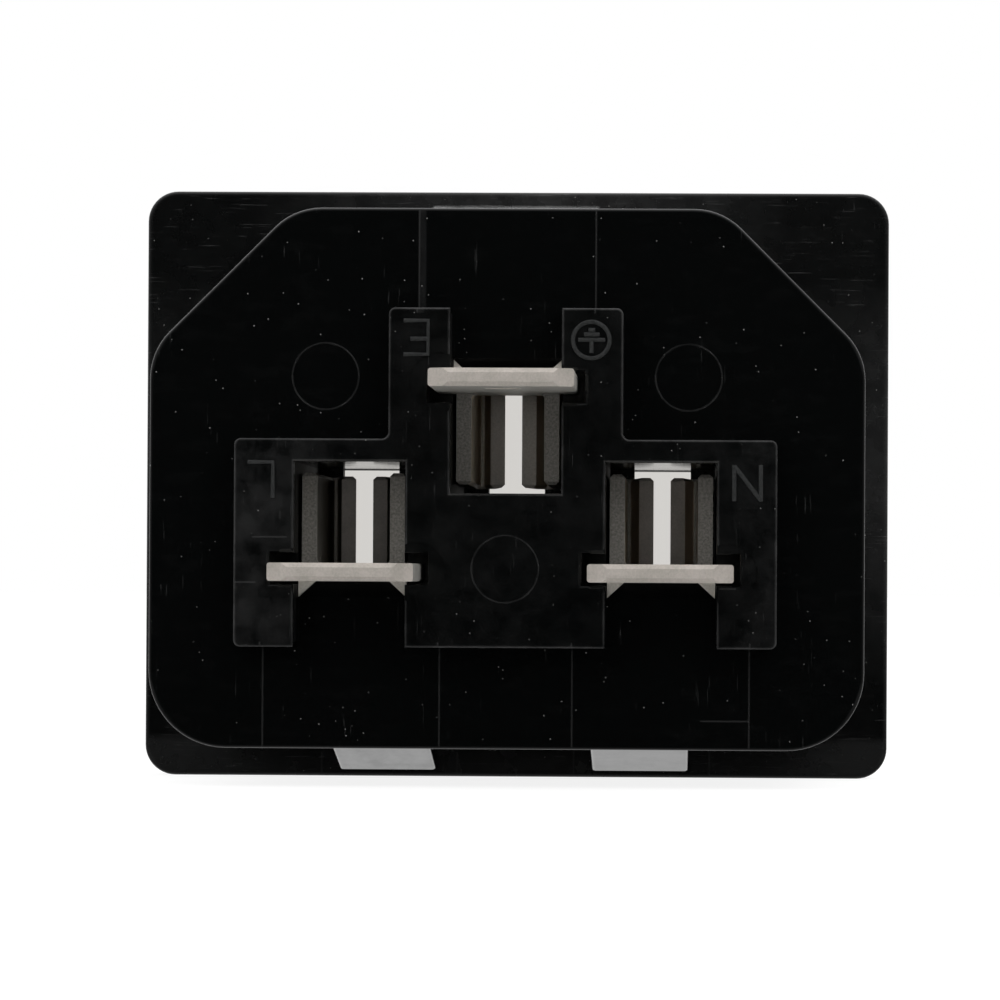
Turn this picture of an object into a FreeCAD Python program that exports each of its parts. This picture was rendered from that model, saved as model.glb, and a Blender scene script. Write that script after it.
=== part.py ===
import FreeCAD, Part
import math
import os

# Snap-in panel outlet socket for a three-pin appliance plug, in millimetres.
# X runs to the right and Z up, seen from the terminal side. The terminals point to -Y and
# the plug enters from +Y. The origin is the centre of the panel cut-out, in the plane of
# the panel's front, where the back of the flange stops.

Vector = FreeCAD.Vector

# Pins of the mating plug: pitch of the two power pins, and height of the earth pin over them
pin_pitch = 14.0
earth_rise = 4.0

# Insert: the tongue with the three entry slots
insert_width = 24.0
insert_height = 15.9
insert_setback = 0.3
insert_chamfer = 4.0
insert_chamfer_blend = 0.8
insert_lower_radius = 1.4
insert_front_round = 0.35
entry_width = 2.7
entry_height = 5.3
entry_wall = 2.0
entry_lead_in = 0.4

# Plug groove around the insert, which takes the shroud of the plug
groove_side = 2.65
groove_end = 2.75
groove_floor = 3.5

# Body: the D-shaped barrel that goes through the panel
shroud_wall = 1.54
body_depth = 17.5
body_chamfer_blend = 3.0
body_lower_radius = 3.5
body_back_round = 0.2

# Flange: the plate that stays in front of the panel, with its lap over the body
flange_side_lap = 1.61
flange_end_lap = 1.79
flange_thickness = 2.5
flange_corner_radius = 1.45
flange_front_round = 0.6
flange_back_round = 0.25

# Contacts: folded from a strip with a thick band for the tab and thin bands for the springs
contact_width = 4.68
contact_clearance = 0.16
leg_thickness = 0.68
leg_reach = 2.25
leg_clearance = 0.45
leg_relief = 0.3
leg_foot_clearance = 0.12
leg_edge_break = 0.15
plate_length = 2.5
bend_outer_radius = 0.85
bend_inner_radius = 0.2
fold_clearance = 1.3
fold_radius = 0.425
blade_length = 4.2
blade_gap = 0.79

# Quick-connect tabs
tab_width = 6.4
tab_thickness = 0.8
tab_offset = 2.27
tab_reach = 8.3
tab_corner = 0.9
tab_corner_depth = 0.7
tab_bevel = 0.2
tab_edge_round = 0.12
tab_hole = 1.6
tab_hole_from_tip = 3.7

# Stop tangs on each tab
tang_height = 0.72
tang_base = 0.78
tang_thickness = 0.7
tang_clearance = 0.05

# Slots in the block for the shoulders of the tabs, and how deep tabs and legs seat in it
shoulder_clearance = 0.36
shoulder_outer_clearance = 0.15
shoulder_inner_clearance = 0.49
seat_sink = 1.5

# Terminal block: the raised island behind the body, with its walls around the terminals
block_height = 2.2
block_side_wall = 1.65
column_side_wall = 1.72
block_shelf_wall = 1.05
block_end_reach = 3.38
block_corner_radius = 0.3
block_edge_round = 0.15

# Snap lugs: ramps that hold the panel against the flange
panel_thickness = 1.5
lug_play = 0.2
lug_catch = 0.9
lug_ramp = 8.1
lower_lug_width = 4.6
lower_lug_offset = 6.0
lower_lug_height = 1.39
upper_lug_width = 8.1
upper_lug_height = 1.0
lug_corner_round = 0.2

# Ejector-pin marks: two on the body, one in the middle of the block and one beside each tab
mark_radius = 1.5
mark_depth = 0.08
side_mark_x = 8.22
side_mark_z = 4.6
middle_mark_z = -4.1
tab_mark_radius = 1.35
tab_mark_offset = 3.0

# Widths, heights and places that several features share
half_pitch = pin_pitch / 2
power_row = -earth_rise / 2
earth_row = earth_rise / 2
groove_width = insert_width + 2 * groove_side
groove_height = insert_height + 2 * groove_end
body_width = groove_width + 2 * shroud_wall
body_height = groove_height + 2 * shroud_wall
body_back = -body_depth
block_back = body_back - block_height
seat_plane = body_back + seat_sink
chamber_front = flange_thickness - insert_setback - entry_wall
chamber_width = contact_width + 2 * contact_clearance
chamber_end = leg_reach + leg_clearance
plate_outer = -(tab_offset + tab_thickness / 2)
plate_inner = plate_outer + tab_thickness
leg_root = plate_inner + leg_relief
shoulder_slot = tab_width + 2 * shoulder_clearance
tab_tip = block_back - tab_reach
terminals = ("line", "neutral", "earth")


def rounded_wire(corners, place):
    """Closed wire through (u, v, radius) corners; place maps (u, v) to a point in space."""
    edges = []
    ends = []
    count = len(corners)
    for index, (u, v, radius) in enumerate(corners):
        corner = Vector(u, v, 0)
        before = Vector(*corners[index - 1][:2], 0) - corner
        after = Vector(*corners[(index + 1) % count][:2], 0) - corner
        before.normalize()
        after.normalize()
        if radius == 0:
            ends.append((corner, corner))
            continue
        half = before.getAngle(after) / 2
        bisector = before + after
        bisector.normalize()
        start = corner + before * (radius / math.tan(half))
        finish = corner + after * (radius / math.tan(half))
        middle = corner + bisector * (radius / math.sin(half) - radius)
        ends.append((start, finish))
        points = [place(point.x, point.y) for point in (start, middle, finish)]
        edges.append(Part.Arc(*points).toShape())
    for index in range(count):
        line_start = place(*tuple(ends[index - 1][1])[:2])
        line_end = place(*tuple(ends[index][0])[:2])
        edges.append(Part.LineSegment(line_start, line_end).toShape())
    return Part.Wire(Part.__sortEdges__(edges))


def prism(corners, y_from, y_to):
    """Profile in the XZ plane, extruded along Y."""
    wire = rounded_wire(corners, lambda u, v: Vector(u, y_from, v))
    return Part.Face(wire).extrude(Vector(0, y_to - y_from, 0))


def slab(corners, z_from, z_to):
    """Profile in the XY plane, extruded along Z."""
    wire = rounded_wire(corners, lambda u, v: Vector(u, v, z_from))
    return Part.Face(wire).extrude(Vector(0, 0, z_to - z_from))


def block(x_from, x_to, y_from, y_to, z_from, z_to):
    """Box between two corners."""
    size = (x_to - x_from, y_to - y_from, z_to - z_from)
    return Part.makeBox(*size, Vector(x_from, y_from, z_from))


def d_corners(width, height, chamfer, blend, lower_radius):
    """Outline with two chamfered corners at the top and two round ones below."""
    side = width / 2
    top = height / 2
    return [
        (-side, -top, lower_radius),
        (side, -top, lower_radius),
        (side, top - chamfer, blend),
        (side - chamfer, top, blend),
        (chamfer - side, top, blend),
        (-side, top - chamfer, blend),
    ]


def chamfer_outside(chamfer, gap):
    """Leg of a chamfer that runs parallel to another one, a gap outside it."""
    return chamfer + gap * (2 - math.sqrt(2))


def edges_in_plane(shape, y):
    """Edges that lie in the plane at this Y."""
    found = []
    for edge in shape.Edges:
        box = edge.BoundBox
        if abs(box.YMin - y) < 1e-6 and abs(box.YMax - y) < 1e-6:
            found.append(edge)
    return found


def at_terminal(shape, name):
    """Copy of a shape made about a pin, placed at the terminal with this name."""
    placed = shape.copy()
    if name == "earth":
        placed.rotate(Vector(0, 0, 0), Vector(0, 1, 0), 180)
        placed.translate(Vector(0, 0, earth_row))
    else:
        side = -half_pitch if name == "line" else half_pitch
        placed.translate(Vector(side, 0, power_row))
    return placed


def make_flange():
    side = body_width / 2 + flange_side_lap
    top = body_height / 2 + flange_end_lap
    radius = flange_corner_radius
    corners = [(-side, -top, radius), (side, -top, radius), (side, top, radius), (-side, top, radius)]
    plate = prism(corners, 0, flange_thickness)
    plate = plate.makeFillet(flange_front_round, edges_in_plane(plate, flange_thickness))
    return plate.makeFillet(flange_back_round, edges_in_plane(plate, 0))


def make_body():
    chamfer = chamfer_outside(insert_chamfer, groove_end + shroud_wall)
    corners = d_corners(body_width, body_height, chamfer, body_chamfer_blend, body_lower_radius)
    barrel = prism(corners, flange_thickness / 2, body_back)
    return barrel.makeFillet(body_back_round, edges_in_plane(barrel, body_back))


def make_terminal_block():
    """Island with a wide lower part for line and neutral and a column for earth."""
    column = shoulder_slot / 2 + column_side_wall
    side = half_pitch + shoulder_slot / 2 + block_side_wall
    shelf = power_row + chamber_end + block_shelf_wall
    end = earth_row + tab_offset + block_end_reach
    radius = block_corner_radius
    corners = [
        (-side, -end, radius),
        (side, -end, radius),
        (side, shelf, radius),
        (column, shelf, radius),
        (column, end, radius),
        (-column, end, radius),
        (-column, shelf, radius),
        (-side, shelf, radius),
    ]
    return prism(corners, body_back + groove_floor / 2, block_back)


def make_lug(width, height, centre, side):
    """Ramp on the underside (side -1) or the top (side 1) of the body."""
    surface = side * body_height / 2
    root = surface - side * shroud_wall / 2
    catch = -(panel_thickness + lug_play)
    apex = catch - lug_catch
    tail = apex - lug_ramp
    points = [
        Vector(centre - width / 2, catch, root),
        Vector(centre - width / 2, catch, surface),
        Vector(centre - width / 2, apex, surface + side * height),
        Vector(centre - width / 2, tail, surface),
        Vector(centre - width / 2, tail, root),
    ]
    ramp = Part.Face(Part.makePolygon(points + points[:1])).extrude(Vector(width, 0, 0))
    crests = [edge for edge in ramp.Edges if is_lug_crest(edge, apex, surface)]
    return ramp.makeFillet(lug_corner_round, crests)


def is_lug_crest(edge, apex, surface):
    """True for the two long ramp edges, which end at the apex outside the body's surface."""
    box = edge.BoundBox
    runs_to_apex = abs(box.YMax - apex) < 1e-6 and box.YLength > 1e-6
    return runs_to_apex and max(abs(box.ZMin), abs(box.ZMax)) > abs(surface) + 1e-6


def make_groove():
    """Space between the shroud wall and the insert, open to the front."""
    floor = body_back + groove_floor
    front = flange_thickness - insert_setback
    outline = d_corners(
        groove_width,
        groove_height,
        chamfer_outside(insert_chamfer, groove_end),
        body_chamfer_blend - shroud_wall,
        body_lower_radius - shroud_wall,
    )
    space = prism(outline, floor, flange_thickness)
    outline = d_corners(
        insert_width, insert_height, insert_chamfer, insert_chamfer_blend, insert_lower_radius
    )
    insert = prism(outline, floor, front)
    insert = insert.makeFillet(insert_front_round, edges_in_plane(insert, front))
    return space.cut(insert)


def make_entry():
    """Entry slot of one pin with its lead-in, about the pin."""
    front = flange_thickness - insert_setback
    slot = block(
        -entry_width / 2, entry_width / 2, chamber_front, front, -entry_height / 2, entry_height / 2
    )
    mouth = []
    for grown in (0, entry_lead_in):
        side = entry_width / 2 + grown
        end = entry_height / 2 + grown
        depth = front - entry_lead_in + grown
        corners = [(-side, -end, 0), (side, -end, 0), (side, end, 0), (-side, end, 0)]
        mouth.append(rounded_wire(corners, lambda u, v: Vector(u, depth, v)))
    return slot.fuse(Part.makeLoft(mouth, True, True))


def make_chamber():
    """Space for one contact: chamber, channel, and seats for its tangs and shoulders."""
    side = chamber_width / 2
    behind = block_back - block_height
    outside = plate_outer - 2 * block_end_reach
    slot_side = shoulder_slot / 2
    slot_from = plate_outer - shoulder_outer_clearance
    slot_to = plate_inner + shoulder_inner_clearance
    chamber = block(-side, side, behind, chamber_front, plate_outer, chamber_end)
    channel = block(-side, side, behind, body_back, outside, plate_outer)
    slots = block(-slot_side, slot_side, behind, seat_plane, slot_from, slot_to)
    tang_end = plate_outer - tang_height - tang_clearance
    seat = block(-side, side, behind, seat_plane, tang_end, plate_outer)
    return chamber.fuse([channel, slots, seat])


def make_mark(radius, x, plane, z):
    return Part.makeCylinder(radius, mark_depth, Vector(x, plane, z), Vector(0, 1, 0))


def make_marks():
    """Round ejector-pin marks on the back of the body and of the terminal block."""
    marks = [
        make_mark(mark_radius, -side_mark_x, body_back, side_mark_z),
        make_mark(mark_radius, side_mark_x, body_back, side_mark_z),
        make_mark(mark_radius, 0, block_back, middle_mark_z),
    ]
    beside_tab = make_mark(tab_mark_radius, tab_mark_offset, block_back, -tab_offset)
    return marks + [at_terminal(beside_tab, name) for name in terminals]


def make_housing():
    lugs = [
        make_lug(lower_lug_width, lower_lug_height, -lower_lug_offset, -1),
        make_lug(lower_lug_width, lower_lug_height, lower_lug_offset, -1),
        make_lug(upper_lug_width, upper_lug_height, 0, 1),
    ]
    solid = make_flange().fuse([make_body(), make_terminal_block()] + lugs)
    cuts = [make_groove()]
    for name in terminals:
        cuts.append(at_terminal(make_entry(), name))
        cuts.append(at_terminal(make_chamber(), name))
    solid = solid.cut(cuts).removeSplitter()
    solid = solid.makeFillet(block_edge_round, edges_in_plane(solid, block_back))
    return solid.cut(make_marks())


def make_leg():
    """One spring leg, wider past the base plate, folded back in front so that its end grips the pin."""
    outer = contact_width / 2
    leg_line = outer - leg_thickness / 2
    centre_x = leg_line - fold_radius
    centre_y = chamber_front - fold_clearance - fold_radius - leg_thickness / 2
    gap_line = (blade_gap + leg_thickness) / 2
    lean = math.asin((centre_x - fold_radius - gap_line) / blade_length)
    centre = Vector(centre_x, centre_y, 0)
    along = Vector(-math.sin(lean), -math.cos(lean), 0)
    edges = []
    caps = []
    for radius in (fold_radius + leg_thickness / 2, fold_radius - leg_thickness / 2):
        turn = math.pi - lean
        middle = centre + Vector(math.cos(turn / 2), math.sin(turn / 2), 0) * radius
        finish = centre + Vector(math.cos(turn), math.sin(turn), 0) * radius
        start = centre + Vector(radius, 0, 0)
        root = Vector(start.x, seat_plane, 0)
        tip = finish + along * blade_length
        edges.append(Part.LineSegment(root, start).toShape())
        edges.append(Part.Arc(start, middle, finish).toShape())
        edges.append(Part.LineSegment(finish, tip).toShape())
        caps.append((root, tip))
    edges.append(Part.LineSegment(caps[0][0], caps[1][0]).toShape())
    edges.append(Part.LineSegment(caps[0][1], caps[1][1]).toShape())
    foot = plate_outer + leg_foot_clearance
    face = Part.Face(Part.Wire(Part.__sortEdges__(edges)))
    face.translate(Vector(0, 0, foot))
    leg = face.extrude(Vector(0, 0, leg_reach - foot))
    free = [edge for edge in leg.Edges if edge.BoundBox.ZMin > leg_reach - 1e-6]
    leg = leg.makeChamfer(leg_edge_break, free)
    relief = block(
        0, outer, seat_plane, seat_plane + plate_length + leg_relief, foot, leg_root
    )
    return leg.cut(relief)


def make_cradle():
    """Base plate with the two bends that carry the legs at their roots."""
    outer = contact_width / 2
    inner = outer - leg_thickness
    corners = [
        (-outer, plate_outer, bend_outer_radius),
        (outer, plate_outer, bend_outer_radius),
        (outer, leg_root, 0),
        (inner, leg_root, 0),
        (inner, plate_inner, bend_inner_radius),
        (-inner, plate_inner, bend_inner_radius),
        (-inner, leg_root, 0),
        (-outer, leg_root, 0),
    ]
    return prism(corners, seat_plane, seat_plane + plate_length)


def make_tab():
    side = tab_width / 2
    corners = [
        (-side, seat_plane, 0),
        (-side, tab_tip + tab_corner_depth, 0),
        (tab_corner - side, tab_tip, 0),
        (side - tab_corner, tab_tip, 0),
        (side, tab_tip + tab_corner_depth, 0),
        (side, seat_plane, 0),
    ]
    blade = slab(corners, plate_outer, plate_inner)
    long_edges = [edge for edge in blade.Edges if edge.BoundBox.YLength > tab_reach]
    blade = blade.makeFillet(tab_edge_round, long_edges)
    tips = [edge for edge in edges_in_plane(blade, tab_tip) if edge.BoundBox.XLength > tab_thickness]
    blade = blade.makeChamfer(tab_bevel, tips)
    hole = Part.makeCylinder(
        tab_hole / 2, tab_thickness, Vector(0, tab_tip + tab_hole_from_tip, plate_outer)
    )
    return blade.cut(hole)


def make_tang(side):
    """Stop tang, a triangle pressed out of the tab's root that seats on the housing."""
    outer = chamber_width / 2 - tang_clearance
    points = [
        Vector(side * outer, seat_plane, plate_outer),
        Vector(side * (outer - tang_base), seat_plane, plate_outer),
        Vector(side * outer, seat_plane, plate_outer - tang_height),
    ]
    return Part.Face(Part.makePolygon(points + points[:1])).extrude(Vector(0, -tang_thickness, 0))


def make_contact():
    leg = make_leg()
    other_leg = leg.mirror(Vector(0, 0, 0), Vector(1, 0, 0))
    pieces = [make_cradle(), leg, other_leg, make_tang(-1), make_tang(1)]
    return make_tab().fuse(pieces).removeSplitter()


def main():
    os.makedirs("parts", exist_ok=True)
    make_housing().exportStep("parts/housing.step")
    contact = make_contact()
    for name in terminals:
        at_terminal(contact, name).exportStep("parts/" + name + "_contact.step")


main()
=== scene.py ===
import math

import bpy
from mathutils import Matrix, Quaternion, Vector


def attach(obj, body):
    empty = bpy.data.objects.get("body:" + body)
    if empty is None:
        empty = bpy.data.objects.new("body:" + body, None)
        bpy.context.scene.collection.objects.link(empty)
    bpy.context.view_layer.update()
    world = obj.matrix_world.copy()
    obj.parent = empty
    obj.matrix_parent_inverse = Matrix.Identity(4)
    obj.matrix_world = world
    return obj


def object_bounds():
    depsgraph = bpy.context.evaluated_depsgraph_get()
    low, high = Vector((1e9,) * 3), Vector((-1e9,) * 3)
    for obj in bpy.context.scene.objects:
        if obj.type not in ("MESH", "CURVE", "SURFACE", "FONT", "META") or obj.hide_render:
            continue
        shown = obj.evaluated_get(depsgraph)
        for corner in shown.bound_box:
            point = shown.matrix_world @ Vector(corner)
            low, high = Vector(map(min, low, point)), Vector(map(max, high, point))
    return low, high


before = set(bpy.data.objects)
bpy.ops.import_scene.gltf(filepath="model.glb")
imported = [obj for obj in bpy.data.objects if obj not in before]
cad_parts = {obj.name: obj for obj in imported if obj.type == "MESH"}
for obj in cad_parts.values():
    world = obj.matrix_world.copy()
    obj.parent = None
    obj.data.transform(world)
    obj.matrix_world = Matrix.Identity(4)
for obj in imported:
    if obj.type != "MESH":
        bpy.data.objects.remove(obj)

MM = 0.001

cad_low, cad_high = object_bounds()

# Lengths are in millimetres of the part's frame: X to the right and Z up, as seen from the
# terminals, and Y from the panel's front plane towards the mating side.

# Planes and reaches of the housing
body_back = -17.5
body_top = 12.25
block_back = -19.7
block_top = 7.4
insert_front = 2.2
chamber_reach = 9.7
flange_zone = -0.6
lug_zone = -1.5
plastic_index = 1.5

# Seams of the mould's inserts. The upright ones stand at both sides: distance from the middle,
# lower end, upper end. The level ones: height, left end, right end.
seam_end = body_top + 0.05
seam_half_width = 0.035
seam_soft = 0.04
upright_seams = (
    (4.0, block_top, seam_end),
    (3.0, -seam_end, -block_top),
    (11.0, -seam_end, -block_top),
)
level_seams = (
    (-10.92, 8.8, 11.0),
    (-2.70, -11.36, -9.79),
    (-4.74, -12.2, -11.2),
    (-4.94, 9.6, 10.35),
)
flange_seams = (-9.3, -2.8, 2.8, 9.3)
flange_seam_half_width = 0.04
flange_seam_soft = 0.05

# Ejector marks in the back of the body and of the block
ejector_radius = 1.5
ejector_middles = ((-8.22, 4.6), (8.22, 4.6), (0.0, -4.1))
rim_half_width = 0.035
rim_soft = 0.05

# Contacts: how far the sheet reaches up or down without the tangs, and the Y of its ends
sheet_reach = 4.62
tang_start = -17.2
leg_start = -16.6
leg_end = -15.4
stain_start = -15.6
blade_start = -11.0

# Raised terminal marks
mark_stroke = 0.20
mark_height = 0.07

# Greyish glowing cards, painted shade of a backdrop, over the mouths of the entry slots: name, middle
# x, middle z
slot_middles = (("line", -7.0, -2.0), ("neutral", 7.0, -2.0), ("earth", 0.0, 2.0))
card_width = 3.7
card_height = 6.3
card_gap = 0.03

# Floor, lamps (name, place, side, power) and camera
floor_reach = 3000.0
lamp_target = (0.0, -15.0, 0.0)
lamps = (
    ("key", (170.0, -330.0, 190.0), 200.0, 0.50),
    ("fill", (-190.0, -330.0, 150.0), 200.0, 0.40),
    ("front", (0.0, -420.0, 0.0), 60.0, 0.25),
)
camera_place = (7.885, -301.0, -4.457)
camera_yaw = -0.02884
camera_pitch = 0.0123
camera_roll = 0.0053
camera_lens = 225.8
camera_sensor = 36.0

# What gloss sees of the studio, from behind the camera (0) to behind the part (1)
studio_levels = (
    (0.0, 0.004),
    (0.09, 0.004),
    (0.15, 0.12),
    (0.22, 0.17),
    (0.36, 0.40),
    (0.5, 0.85),
    (0.85, 1.0),
    (1.0, 1.6),
)


# ---------------------------------------------------------------- node helpers

class Graph:
    """Shader nodes of one material or world, with short calls for the usual ones."""

    def __init__(self, tree):
        self.tree = tree
        self.tree.nodes.clear()

    def add(self, kind, inputs=(), **settings):
        node = self.tree.nodes.new(kind)
        for key, value in settings.items():
            setattr(node, key, value)
        for key, value in dict(inputs).items():
            self.put(node.inputs[key], value)
        return node

    def put(self, socket, value):
        if isinstance(value, bpy.types.NodeSocket):
            self.tree.links.new(value, socket)
        else:
            socket.default_value = value

    def math(self, operation, *values):
        node = self.add("ShaderNodeMath", operation=operation)
        for index, value in enumerate(values):
            self.put(node.inputs[index], value)
        return node.outputs[0]

    def product(self, *values):
        result = values[0]
        for value in values[1:]:
            result = self.math("MULTIPLY", result, value)
        return result

    def total(self, *values):
        result = values[0]
        for value in values[1:]:
            result = self.math("ADD", result, value)
        return result

    def size(self, value):
        return self.math("ABSOLUTE", value)

    def away(self, value, middle):
        return self.size(self.math("SUBTRACT", value, middle))

    def remap(self, value, low, high, to_low, to_high):
        """Linear between the two ends, and level past them."""
        node = self.add("ShaderNodeMapRange", clamp=True)
        for index, item in enumerate((value, low, high, to_low, to_high)):
            self.put(node.inputs[index], item)
        return node.outputs[0]

    def above(self, value, edge, soft=0.02):
        """1 where value is above edge, 0 below it."""
        return self.remap(value, edge - soft / 2, edge + soft / 2, 0.0, 1.0)

    def below(self, value, edge, soft=0.02):
        return self.remap(value, edge - soft / 2, edge + soft / 2, 1.0, 0.0)

    def inside(self, value, low, high, soft=0.02):
        return self.product(self.above(value, low, soft), self.below(value, high, soft))

    def mix(self, factor, first, second):
        node = self.add("ShaderNodeMix", {0: factor, 2: first, 3: second}, data_type="FLOAT")
        return node.outputs[0]

    def colour(self, factor, first, second):
        node = self.add("ShaderNodeMix", data_type="RGBA", clamp_factor=True)
        self.put(node.inputs[0], factor)
        self.put(node.inputs[6], first)
        self.put(node.inputs[7], second)
        return node.outputs[2]

    def stretched(self, vector, scale, rotation=(0.0, 0.0, 0.0)):
        values = {"Vector": vector, "Scale": scale, "Rotation": rotation}
        return self.add("ShaderNodeMapping", values).outputs[0]

    def noise(self, vector, scale, detail=3.0, roughness=0.55):
        values = {"Vector": vector, "Scale": scale, "Detail": detail, "Roughness": roughness}
        return self.add("ShaderNodeTexNoise", values).outputs[0]

    def cells(self, vector, scale):
        return self.add("ShaderNodeTexVoronoi", {"Vector": vector, "Scale": scale}, feature="F1")

    def bump(self, height, strength, distance, normal=None):
        """Bump whose distance is in millimetres."""
        values = {"Height": height, "Strength": strength, "Distance": distance * MM}
        if normal is not None:
            values["Normal"] = normal
        return self.add("ShaderNodeBump", values).outputs[0]


def rgb(red, green, blue):
    return (red, green, blue, 1.0)


def grey(level):
    return rgb(level, level, level)


white = grey(1.0)


def blank_material(name):
    """Material with no more than an output."""
    material = bpy.data.materials.new(name)
    material.use_nodes = True
    graph = Graph(material.node_tree)
    graph.output = graph.add("ShaderNodeOutputMaterial")
    return material, graph


def surface_material(name):
    """Material with a principled shader, and its place and facing in the part's frame."""
    material, graph = blank_material(name)
    graph.shader = graph.add("ShaderNodeBsdfPrincipled")
    graph.put(graph.output.inputs["Surface"], graph.shader.outputs[0])
    coordinates = graph.add("ShaderNodeTexCoord")
    values = {0: coordinates.outputs["Object"], "Scale": 1 / MM}
    graph.place = graph.add("ShaderNodeVectorMath", values, operation="SCALE").outputs[0]
    axes = graph.add("ShaderNodeSeparateXYZ", {0: graph.place})
    graph.x, graph.y, graph.z = axes.outputs
    facing = graph.add("ShaderNodeSeparateXYZ", {0: coordinates.outputs["Normal"]})
    graph.nx, graph.ny, graph.nz = facing.outputs
    return material, graph


# ---------------------------------------------------------------- masks on the plastic

def dust_mask(g):
    """A few small pale specks, of two sizes, each in a cell of its own."""
    dust = 0.0
    for density, channel, rarity, radius in ((1.3, 0, 0.90, 0.065), (3.2, 1, 0.93, 0.09)):
        specks = g.cells(g.place, density)
        chance = g.add("ShaderNodeSeparateXYZ", {0: specks.outputs["Color"]}).outputs[channel]
        reach = g.remap(chance, rarity, 1.0, 0.0, radius)
        dust = g.math("MAXIMUM", dust, g.math("LESS_THAN", specks.outputs["Distance"], reach))
    return dust


def seam_mask(g, on_flange):
    """Hairlines left by the mould's inserts on the back of the body and on the flange's lower strip;
    their pale tone is a painted highlight.
    """
    seams = []
    for middle, low, high in upright_seams:
        line = g.below(g.away(g.size(g.x), middle), seam_half_width, seam_soft)
        seams.append(g.product(line, g.inside(g.z, low, high)))
    for middle in flange_seams:
        line = g.below(g.away(g.x, middle), flange_seam_half_width, flange_seam_soft)
        seams.append(g.product(line, g.below(g.z, -seam_end), on_flange))
    for middle, left, right in level_seams:
        line = g.below(g.away(g.z, middle), seam_half_width, seam_soft)
        seams.append(g.product(line, g.inside(g.x, left, right)))
    return g.total(*seams)


def rim_mask(g):
    """Rims of the ejector marks, paled along their edges as a painted highlight."""
    rims = []
    for middle_x, middle_z in ejector_middles:
        across = g.math("SUBTRACT", g.x, middle_x)
        upright = g.math("SUBTRACT", g.z, middle_z)
        radius = g.math("SQRT", g.total(g.product(across, across), g.product(upright, upright)))
        rims.append(g.below(g.away(radius, ejector_radius), rim_half_width, rim_soft))
    return g.total(*rims)


def edge_mask(g):
    """Outer edges of the terminal block's back, which get a painted highlight, but not those of the
    shoulder slots beside the tabs.
    """
    facing_back = g.math("MULTIPLY", g.ny, -1.0)
    edge = g.product(g.below(g.y, block_back + 0.3, 0.1), g.inside(facing_back, 0.25, 0.9, 0.2))
    slots_reach = g.remap(g.z, -0.1, 0.1, 11.2, 4.5)
    beside_tab = g.math("LESS_THAN", g.size(g.x), slots_reach)
    at_slots = g.product(g.inside(g.size(g.z), 3.2, 5.1, 0.1), beside_tab)
    return g.product(edge, g.math("SUBTRACT", 1.0, at_slots))


# ---------------------------------------------------------------- materials

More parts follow.
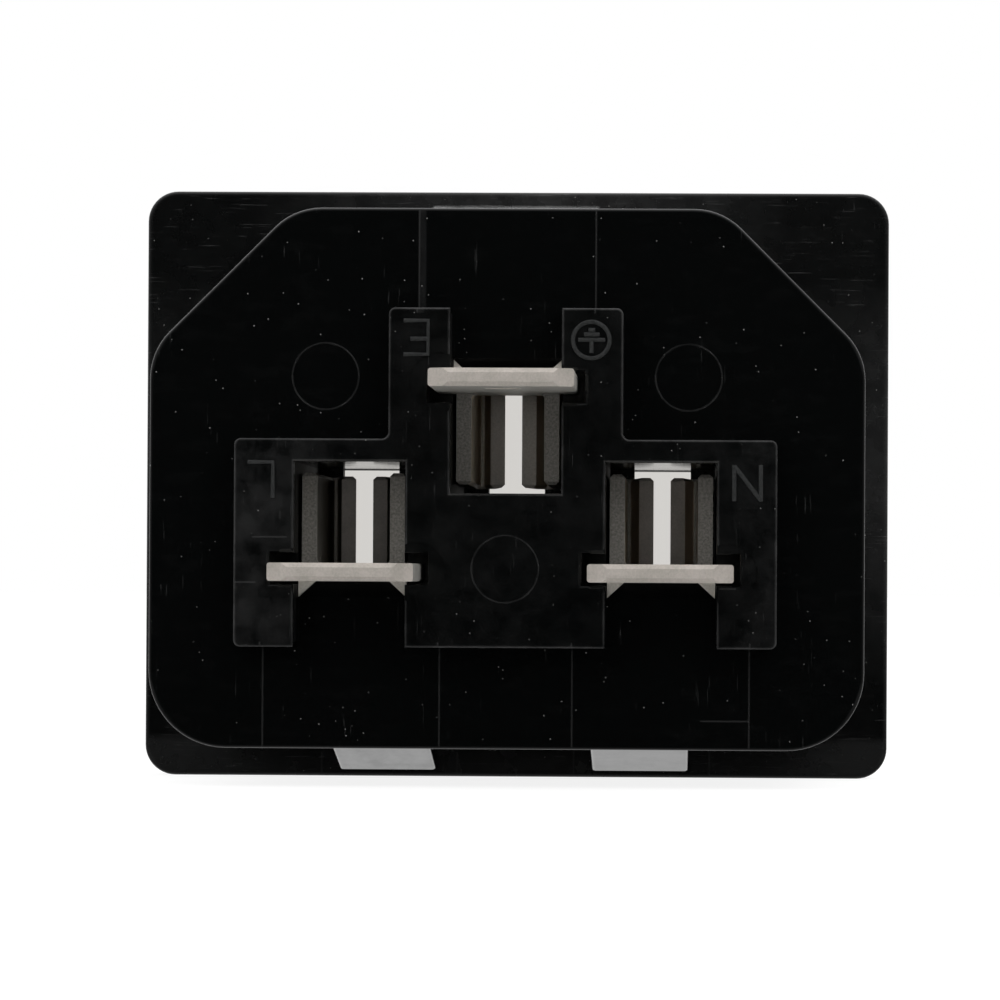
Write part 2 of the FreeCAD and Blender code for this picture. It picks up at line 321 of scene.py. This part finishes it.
def plastic_material():
    """Black moulded thermoplastic."""
    material, g = surface_material("black_plastic")
    to_back = g.above(g.math("MULTIPLY", g.ny, -1.0), 0.9, 0.1)
    to_front = g.above(g.ny, 0.9, 0.1)
    to_side = g.above(g.size(g.nx), 0.9, 0.1)
    on_flange = g.above(g.y, flange_zone, 0.3)
    on_block = g.product(g.below(g.y, body_back - 1.0, 0.2), to_back)
    near_middle = g.product(g.below(g.size(g.x), chamber_reach), g.below(g.size(g.z), block_top))
    in_chamber = g.product(to_side, g.above(g.y, block_back + 0.35, 0.3), near_middle)
    on_ramp = g.product(g.above(g.size(g.z), body_top + 0.03), g.below(g.y, lug_zone, 0.1))

    # Slow change of gloss across each face, and a fine grain
    patches = g.noise(g.place, 0.22, 3.0)
    blotches = g.noise(g.place, 0.9, 4.0, 0.6)
    grain = g.noise(g.place, 14.0, 3.0, 0.6)

    # Scratches run along X on the flange, and at a slant everywhere
    along = g.noise(g.stretched(g.place, (0.35, 1.0, 11.0)), 1.0, 2.0, 0.7)
    slanted = g.noise(g.stretched(g.place, (9.0, 1.0, 0.5), (0.0, 0.5, 0.0)), 1.0, 2.0, 0.7)
    scratch_along = g.product(g.above(along, 0.64, 0.05), g.above(blotches, 0.5, 0.2))
    scratch_slanted = g.product(g.above(slanted, 0.7, 0.04), g.above(patches, 0.5, 0.1))

    dust = dust_mask(g)
    # Seam lines: the bump is the real hairline, and the pale tone given them is a painted highlight.
    seam_lines_and_highlight = g.product(seam_mask(g, on_flange), to_back)
    # Painted highlight: the ejector marks' rims are paled unevenly.
    rim_highlight = g.product(rim_mask(g), to_back, g.remap(blotches, 0.35, 0.6, 0.3, 1.0))
    # Painted highlight: the block's rounded outer edges are paled, unevenly.
    edge_highlight_variation = g.product(g.remap(grain, 0.35, 0.6, 0.6, 1.0), g.remap(blotches, 0.35, 0.65, 0.4, 1.2))
    edge_highlight = g.product(edge_mask(g), edge_highlight_variation)

    # Beside the upper left seam a narrow stripe is paled: a painted highlight that widens the seam's
    # line
    seam_band_highlight = g.product(g.inside(g.x, -4.0, -3.69, 0.08), g.inside(g.z, block_top, seam_end), to_back)
    seam_band_highlight = g.product(seam_band_highlight, g.remap(blotches, 0.35, 0.65, 0.4, 1.0))

    # Faint pale rub marks on the faces that look back
    smears = g.noise(g.stretched(g.place, (0.8, 1.0, 2.2)), 1.0, 4.0)
    rub = g.product(g.above(smears, 0.6, 0.1), to_back)

    # The flange is painted paler in the middle of each side and towards the upper right: painted light,
    # where more light falls on it; the blotchy tone under it is the plastic's own.
    across = g.remap(g.size(g.x), 2.0, 13.0, 1.0, 0.0)
    upright = g.remap(g.size(g.z), 1.0, 10.0, 1.0, 0.0)
    middle = g.remap(g.math("MAXIMUM", across, upright), 0.0, 1.0, 0.08, 1.0)
    towards = g.product(g.remap(g.z, -13.0, 13.0, 0.7, 1.5), g.remap(g.x, -18.0, 18.0, 0.7, 1.5))
    flange_painted_light = g.product(middle, towards, g.remap(blotches, 0.3, 0.7, 0.006, 0.012))
    # Painted light: the flange's lower strip, which the body shades, is painted paler.
    strip_painted_light = g.product(to_back, g.below(g.z, 0.05 - body_top, 0.4), 0.008)

    # The block is palest at its left, and a little at its right
    outer = g.total(g.remap(g.x, -11.0, -6.5, 1.0, 0.25), g.remap(g.x, 9.0, 12.0, 0.0, 0.35))
    block_pale = g.product(g.remap(blotches, 0.35, 0.7, 0.0, 0.010), outer)

    # The snap lugs' ramps mirror unevenly, in streaks along them, and best at the right
    streaks = g.noise(g.stretched(g.place, (1.0, 0.18, 1.0)), 1.0, 3.0, 0.6)
    uneven = g.remap(streaks, 0.35, 0.65, -0.14, 0.14)
    mirroring = g.total(uneven, g.remap(g.x, -6.0, 6.0, -0.08, 0.12))

    tone = g.total(
        g.product(seam_lines_and_highlight, 0.012),
        g.product(rim_highlight, 0.016),
        g.product(seam_band_highlight, 0.006),
        g.product(edge_highlight, 0.026),
        g.product(on_flange, flange_painted_light),
        g.product(on_flange, strip_painted_light),
        g.product(scratch_along, on_flange, 0.025),
        g.product(scratch_slanted, 0.012),
        g.product(rub, 0.0006),
        g.product(on_block, block_pale),
    )
    plain = g.colour(tone, rgb(0.0012, 0.0014, 0.0014), white)
    g.put(g.shader.inputs["Base Color"], g.colour(dust, plain, rgb(0.16, 0.16, 0.155)))

    gloss = g.total(
        g.remap(blotches, 0.3, 0.7, 0.10, 0.15),
        g.product(on_flange, g.remap(patches, 0.3, 0.7, 0.10, 0.18)),
        g.product(on_block, g.remap(patches, 0.35, 0.65, 0.04, 0.12)),
        g.product(to_front, 0.22),
        g.product(in_chamber, 0.45),
        g.product(dust, 0.5),
    )
    g.put(g.shader.inputs["Roughness"], gloss)
    g.put(g.shader.inputs["IOR"], g.total(plastic_index, g.product(on_ramp, mirroring)))

    height = g.total(
        g.product(grain, g.total(0.25, g.product(to_front, 0.9), g.product(on_flange, 0.35))),
        g.product(scratch_along, on_flange, 0.6),
        g.product(scratch_slanted, 0.4),
        g.product(seam_lines_and_highlight, 2.0),
        g.product(dust, 3.0),
    )
    normal = g.bump(patches, 0.25, 0.05)
    normal = g.bump(height, 0.35, 0.006, normal)
    g.put(g.shader.inputs["Normal"], normal)
    return material


def lettering_material():
    """The same plastic where it is raised lettering, duller and paler on its rough crests."""
    material, g = surface_material("black_plastic_lettering")
    grain = g.noise(g.place, 12.0, 3.0, 0.6)
    crests = g.remap(grain, 0.35, 0.65, 0.0, 1.0)
    tone = g.colour(crests, rgb(0.008, 0.009, 0.009), rgb(0.026, 0.027, 0.027))
    g.put(g.shader.inputs["Base Color"], tone)
    g.put(g.shader.inputs["Roughness"], g.remap(grain, 0.3, 0.7, 0.34, 0.5))
    g.put(g.shader.inputs["IOR"], plastic_index)
    g.put(g.shader.inputs["Normal"], g.bump(grain, 0.3, 0.012))
    return material


def metal_material():
    """Tin-plated copper alloy sheet, with rougher and darker sheared edges."""
    material, g = surface_material("tinned_sheet")
    # The sheet's faces look up, down or, on the legs, sideways. What looks back is a sheared end.
    sheared = g.above(g.math("MULTIPLY", g.ny, -1.0), 0.5, 0.2)
    to_side = g.above(g.size(g.nx), 0.5, 0.2)
    cloud = g.noise(g.place, 0.8, 4.0, 0.6)
    grain = g.noise(g.place, 9.0, 4.0, 0.65)
    rolled = g.noise(g.stretched(g.place, (18.0, 0.9, 18.0)), 1.0, 3.0, 0.6)
    torn = g.noise(g.stretched(g.place, (16.0, 3.0, 3.0)), 1.0, 4.0, 0.7)
    clouded = g.remap(cloud, 0.35, 0.7, 0.0, 1.0)
    grained = g.remap(grain, 0.35, 0.7, 0.0, 1.0)
    mottled = g.total(g.product(grain, 0.35), g.product(cloud, 0.65))
    mottled = g.remap(mottled, 0.4, 0.62, 0.0, 1.0)

    plated = g.colour(clouded, rgb(0.66, 0.65, 0.61), rgb(0.56, 0.54, 0.49))
    raw = g.colour(mottled, rgb(0.60, 0.55, 0.505), rgb(0.47, 0.44, 0.395))
    painted_bright_sheet = g.colour(grained, rgb(0.95, 0.90, 0.82), rgb(0.78, 0.73, 0.65))
    painted_shade_end = g.colour(grained, rgb(0.37, 0.35, 0.32), rgb(0.155, 0.15, 0.135))

    # The tangs are painted bright, and so are the earth contact's blades, most at the right: painted
    # light on ends that lie in shade.
    # The legs' ends are painted dark: painted shade inside the channel.
    tang = g.product(g.above(g.y, tang_start), g.above(g.size(g.z), sheet_reach))
    leg = g.product(g.inside(g.y, leg_start, leg_end), g.below(g.size(g.z), sheet_reach))
    on_earth = g.remap(g.size(g.x), 3.0, 4.0, 1.0, 0.1)
    on_right = g.remap(g.x, -0.6, 0.6, 0.4, 1.0)
    blade = g.product(g.above(g.y, blade_start), on_earth, on_right)
    raw = g.colour(leg, raw, painted_shade_end)
    raw = g.colour(g.math("MAXIMUM", blade, tang), raw, painted_bright_sheet)

    # Inside the housing the sheet's faces carry a brown stain, which is real; the faces that look
    # right, except on the line contact, are painted far brighter, as painted light on the side the
    # light falls on.
    inner = g.product(to_side, g.above(g.y, stain_start, 0.4))
    painted_lit_side = g.product(g.above(g.x, -3.5), g.remap(g.nx, -0.1, 0.1, 0.35, 1.0))
    stain_and_painted_light = g.colour(painted_lit_side, rgb(0.17, 0.145, 0.105), rgb(0.90, 0.76, 0.58))
    plated = g.colour(inner, plated, stain_and_painted_light)
    g.put(g.shader.inputs["Base Color"], g.colour(sheared, plated, raw))

    dulled = g.math("MAXIMUM", tang, g.product(inner, painted_lit_side))
    g.put(g.shader.inputs["Metallic"], g.remap(dulled, 0.0, 1.0, 0.6, 0.15))
    gloss = g.total(
        g.remap(cloud, 0.3, 0.7, 0.42, 0.52),
        g.product(sheared, g.remap(grain, 0.3, 0.7, 0.08, 0.22)),
    )
    g.put(g.shader.inputs["Roughness"], gloss)
    normal = g.bump(rolled, 0.3, 0.004)
    normal = g.bump(g.product(sheared, torn), 0.4, 0.02, normal)
    normal = g.bump(grain, 0.2, 0.007, normal)
    g.put(g.shader.inputs["Normal"], normal)
    return material


# ---------------------------------------------------------------- objects

def add_object(name, data):
    thing = bpy.data.objects.new(name, data)
    bpy.context.scene.collection.objects.link(thing)
    return thing


def stroke_piece(name, strokes, material):
    """Raised lettering on the block's back: rounded ridges along the given (x, z) strokes."""
    curve = bpy.data.curves.new(name, "CURVE")
    curve.dimensions = "3D"
    curve.bevel_depth = mark_stroke / 2 * MM
    curve.bevel_resolution = 4
    curve.use_fill_caps = True
    for points, closed in strokes:
        spline = curve.splines.new("POLY")
        spline.points.add(len(points) - 1)
        spline.use_cyclic_u = closed
        for point, (x, z) in zip(spline.points, points):
            point.co = (x * MM, 0.0, z * MM, 1.0)
    outline = bpy.data.objects.new(name + "_line", curve)
    mesh = bpy.data.meshes.new_from_object(outline)
    bpy.data.objects.remove(outline)
    for vertex in mesh.vertices:
        vertex.co.y = block_back * MM + vertex.co.y * mark_height / mark_stroke * 2
    mesh.name = name
    mesh.materials.clear()
    mesh.materials.append(material)
    mesh.polygons.foreach_set("use_smooth", [True] * len(mesh.polygons))
    piece = add_object(name, mesh)
    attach(piece, "root")


def ring(x, z, radius, count=48):
    turns = [2 * math.pi * i / count for i in range(count)]
    return [(x + radius * math.cos(turn), z + radius * math.sin(turn)) for turn in turns]


def make_marks(material):
    """L, N, E and the earth symbol, which stand upside down as the part is held here."""
    marks = {
        "mark_line": [([(-11.58, 0.66), (-10.45, 0.66), (-10.45, -0.95)], False)],
        "mark_neutral": [
            ([(10.27, -1.0), (10.27, 0.63)], False),
            ([(10.29, 0.56), (11.44, -0.93)], False),
            ([(11.46, -1.0), (11.46, 0.63)], False),
        ],
        "mark_earth_letter": [
            ([(-4.60, 7.05), (-3.50, 7.05), (-3.50, 5.53), (-4.60, 5.53)], False),
            ([(-4.30, 6.23), (-3.50, 6.23)], False),
        ],
        "mark_earth_symbol": [
            (ring(3.83, 6.20, 0.82), True),
            ([(3.24, 6.21), (4.45, 6.21)], False),
            ([(3.50, 6.45), (4.20, 6.45)], False),
            ([(3.70, 6.65), (4.00, 6.65)], False),
            ([(3.84, 6.21), (3.84, 5.62)], False),
        ],
    }
    for name, strokes in marks.items():
        stroke_piece(name, strokes, material)


# ---------------------------------------------------------------- stage

def stage_plane(name, corners, material):
    mesh = bpy.data.meshes.new(name)
    mesh.from_pydata([tuple(c * MM for c in corner) for corner in corners], [], [(0, 1, 2, 3)])
    mesh.materials.append(material)
    plane = add_object(name, mesh)


def make_floor():
    """Pale floor: white to the camera, with a soft shadow left under the part."""
    material, g = blank_material("floor_white")
    path = g.add("ShaderNodeLightPath")
    paper = g.colour(path.outputs["Is Camera Ray"], grey(0.80), grey(0.26))
    seen = g.math("MAXIMUM", path.outputs["Is Camera Ray"], path.outputs["Is Transmission Ray"])
    diffuse = g.add("ShaderNodeBsdfDiffuse", {"Color": paper}).outputs[0]
    values = {"Color": white, "Strength": g.product(seen, 0.86)}
    glow = g.add("ShaderNodeEmission", values).outputs[0]
    lit = g.add("ShaderNodeAddShader", {0: diffuse, 1: glow}).outputs[0]
    clear = g.add("ShaderNodeBsdfTransparent").outputs[0]
    values = {0: path.outputs["Is Glossy Ray"], 1: lit, 2: clear}
    surface = g.add("ShaderNodeMixShader", values).outputs[0]
    g.put(g.output.inputs["Surface"], surface)
    reach, low = floor_reach, cad_low.z / MM
    corners = [(-reach, -reach, low), (reach, -reach, low), (reach, reach, low), (-reach, reach, low)]
    stage_plane("floor", corners, material)


def make_cards():
    """Glowing greyish cards close behind each entry slot, which the camera sees through the slot:
    painted shade of a backdrop in the part's shadow.
    """
    material, g = blank_material("card_painted_shade")
    path = g.add("ShaderNodeLightPath")
    back = g.add("ShaderNodeNewGeometry").outputs["Backfacing"]
    seen = g.math("MAXIMUM", path.outputs["Is Camera Ray"], path.outputs["Is Glossy Ray"])
    seen = g.product(seen, g.math("SUBTRACT", 1.0, back))
    # Painted shade: the cards glow a greyish white, as a backdrop in the part's shadow would look
    # through the slots.
    values = {"Color": rgb(0.640, 0.625, 0.600), "Strength": 1.0}
    glow = g.add("ShaderNodeEmission", values).outputs[0]
    clear = g.add("ShaderNodeBsdfTransparent").outputs[0]
    surface = g.add("ShaderNodeMixShader", {0: seen, 1: clear, 2: glow}).outputs[0]
    g.put(g.output.inputs["Surface"], surface)
    y = insert_front + card_gap
    for name, x, z in slot_middles:
        left, right = x - card_width / 2, x + card_width / 2
        low, high = z - card_height / 2, z + card_height / 2
        corners = [(left, y, low), (right, y, low), (right, y, high), (left, y, high)]
        stage_plane("card_" + name, corners, material)


def make_world():
    """White to the camera, plain to matt surfaces, and to gloss a studio, dark behind the camera."""
    world = bpy.data.worlds.new("studio")
    bpy.context.scene.world = world
    world.use_nodes = True
    g = Graph(world.node_tree)
    output = g.add("ShaderNodeOutputWorld")
    direction = g.add("ShaderNodeTexCoord").outputs["Generated"]
    x, y, z = g.add("ShaderNodeSeparateXYZ", {0: direction}).outputs

    ramp = g.add("ShaderNodeValToRGB", {0: g.remap(y, -1.0, 1.0, 0.0, 1.0)})
    stops = ramp.color_ramp.elements
    for position, level in studio_levels[1:-1]:
        stops.new(position)
    for stop, (position, level) in zip(stops, studio_levels):
        stop.position, stop.color = position, grey(level)

    # It is dimmer level with the part, except behind it, and brighter to the left and above
    level_with = g.remap(g.size(z), 0.0, 0.7, 0.55, 1.0)
    behind = g.above(y, 0.5, 0.6)
    sideways = g.math("MAXIMUM", level_with, behind)
    upward = g.product(z, g.total(0.315, g.product(z, 0.21)))
    lift = g.product(sideways, g.total(0.525, g.product(x, -0.095), upward))

    # Low and high at each side there is a dim panel, for the faces that look sideways and up
    panel = g.product(g.inside(g.size(z), 0.13, 0.45, 0.1), g.above(g.size(x), 0.45, 0.2), 0.2)
    reflected = g.math("MAXIMUM", g.product(ramp.outputs[0], lift), panel)

    path = g.add("ShaderNodeLightPath")
    lit = g.total(0.6, g.product(z, 0.45))
    level = g.mix(path.outputs["Is Glossy Ray"], lit, reflected)
    seen = g.math("MAXIMUM", path.outputs["Is Camera Ray"], path.outputs["Is Transmission Ray"])
    values = {"Color": white, "Strength": g.mix(seen, level, 1.0)}
    background = g.add("ShaderNodeBackground", values)
    g.put(output.inputs["Surface"], background.outputs[0])


def area_lamp(name, place, side, power):
    """Soft square lamp, which neither the camera nor gloss sees."""
    lamp = bpy.data.lights.new(name, "AREA")
    lamp.shape = "SQUARE"
    lamp.size = side * MM
    lamp.energy = power
    holder = add_object(name, lamp)
    holder.location = Vector(place) * MM
    aim = (Vector(lamp_target) - Vector(place)).normalized()
    holder.rotation_mode = "QUATERNION"
    holder.rotation_quaternion = aim.to_track_quat("-Z", "Y")
    holder.visible_glossy = False
    holder.visible_camera = False


def make_camera():
    """Long macro lens, level with the terminals and a little right of the middle."""
    lens = bpy.data.cameras.new("camera")
    lens.sensor_width = camera_sensor
    lens.lens = camera_lens
    lens.clip_start, lens.clip_end = 0.01, 10.0
    camera = add_object("camera", lens)
    level = math.cos(camera_pitch)
    forward = Vector((
        math.sin(camera_yaw) * level,
        math.cos(camera_yaw) * level,
        math.sin(camera_pitch),
    ))
    camera.location = Vector(camera_place) * MM
    camera.rotation_mode = "QUATERNION"
    camera.rotation_quaternion = Quaternion(forward, -camera_roll) @ forward.to_track_quat("-Z", "Y")
    bpy.context.scene.camera = camera


# ---------------------------------------------------------------- scene

bpy.context.scene.view_settings.view_transform = "Standard"
make_camera()
make_world()
make_floor()
make_cards()
for lamp_values in lamps:
    area_lamp(*lamp_values)

plastic = plastic_material()
metal = metal_material()
for node_name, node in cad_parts.items():
    chosen = plastic if node_name == "housing" else metal
    if not node.data.materials:
        node.data.materials.append(chosen)
    for slot in node.material_slots:
        slot.material = chosen
make_marks(lettering_material())
